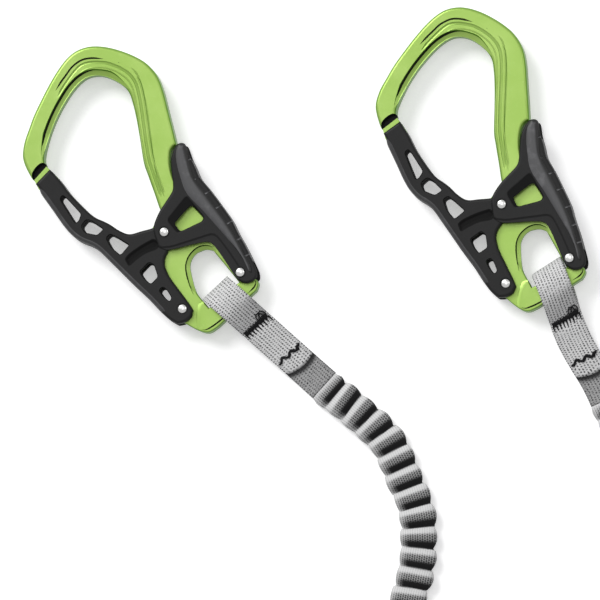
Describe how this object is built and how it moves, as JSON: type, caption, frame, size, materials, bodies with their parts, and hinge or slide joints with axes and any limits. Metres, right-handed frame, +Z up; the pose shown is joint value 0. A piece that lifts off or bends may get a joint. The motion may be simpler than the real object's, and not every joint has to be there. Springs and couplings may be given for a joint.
{
  "type": "via ferrata lanyard",
  "caption": "Two palm squeeze carabiners on elasticated ribbed webbing arms, joined to an energy absorber pouch with a webbing tie in loop.",
  "frame": {"origin": "middle of the base of the box round all but the two ribbed sleeves and their elastic cores, on the surface that the lanyard lies on", "axes": "+Z up from that surface, +Y from the absorber towards the carabiners, +X to the right as seen from above"},
  "size_m": [0.3729, 0.5208, 0.021],
  "materials": {
    "green_aluminium": "anodised, satin",
    "black_plastic": "fine moulded grain",
    "bright_steel": "polished",
    "spring_steel": "drawn wire",
    "grey_webbing": "woven polyamide",
    "dark_thread": "sewn thread",
    "elastic_rubber": "matt",
    "pouch_fabric": "coarse woven nylon"
  },
  "bodies": {
    "arms_and_absorber": {"left_eye_strap": "grey_webbing", "left_bar_tack_near": "dark_thread", "left_bar_tack_far": "dark_thread", "left_sleeve": "grey_webbing", "left_elastic_core": "elastic_rubber", "left_end_tab": "grey_webbing", "left_end_tack": "dark_thread", "right_eye_strap": "grey_webbing", "right_bar_tack_near": "dark_thread", "right_bar_tack_far": "dark_thread", "right_sleeve": "grey_webbing", "right_elastic_core": "elastic_rubber", "right_end_tab": "grey_webbing", "right_end_tack": "dark_thread", "absorber_pouch": "pouch_fabric", "absorber_webbing": "grey_webbing", "tie_in_loop": "grey_webbing", "tie_in_tack": "dark_thread"},
    "left_carabiner": {"left_carabiner_body": "green_aluminium", "left_lever_rivet": "bright_steel", "left_gate_rivet": "bright_steel", "left_lever_spring": "spring_steel"},
    "left_lever": {"left_palm_lever": "black_plastic", "left_lock_pin": "bright_steel"},
    "left_gate": {"left_gate_core": "green_aluminium", "left_gate_cover_front": "black_plastic", "left_gate_cover_back": "black_plastic"},
    "right_carabiner": {"right_carabiner_body": "green_aluminium", "right_lever_rivet": "bright_steel", "right_gate_rivet": "bright_steel", "right_lever_spring": "spring_steel"},
    "right_lever": {"right_palm_lever": "black_plastic", "right_lock_pin": "bright_steel"},
    "right_gate": {"right_gate_core": "green_aluminium", "right_gate_cover_front": "black_plastic", "right_gate_cover_back": "black_plastic"}
  },
  "joints": [
    {"name": "left_carabiner_swing", "type": "hinge", "parent": "arms_and_absorber", "child": "left_carabiner", "pos_m": [-0.03505, 0.11436, 0.00815], "axis": [0.729, 0.6845, 0], "range_deg": [0, 100]},
    {"name": "left_lever_squeeze", "type": "hinge", "parent": "left_carabiner", "child": "left_lever", "pos_m": [-0.0298, 0.12856, 0.00815], "axis": [0, 0, 1], "range_deg": [0, 7], "stiffness_Nm_per_rad": 1, "springref_deg": -5.73},
    {"name": "left_gate_swing", "type": "hinge", "parent": "left_carabiner", "child": "left_gate", "pos_m": [-0.05865, 0.11066, 0.00815], "axis": [0, 0, 1], "range_deg": [-20, 0]},
    {"name": "right_carabiner_swing", "type": "hinge", "parent": "arms_and_absorber", "child": "right_carabiner", "pos_m": [0.12605, 0.12196, 0.00815], "axis": [0.841, 0.541, 0], "range_deg": [0, 100]},
    {"name": "right_lever_squeeze", "type": "hinge", "parent": "right_carabiner", "child": "right_lever", "pos_m": [0.13379, 0.13497, 0.00815], "axis": [0, 0, 1], "range_deg": [0, 7], "stiffness_Nm_per_rad": 1, "springref_deg": -5.73},
    {"name": "right_gate_swing", "type": "hinge", "parent": "right_carabiner", "child": "right_gate", "pos_m": [0.10217, 0.1226, 0.00815], "axis": [0, 0, 1], "range_deg": [-20, 0]}
  ],
  "couplings": [
    {"joint": "left_gate_swing", "follows": "left_lever_squeeze", "ratio": -2.857},
    {"joint": "right_gate_swing", "follows": "right_lever_squeeze", "ratio": -2.857}
  ]
}
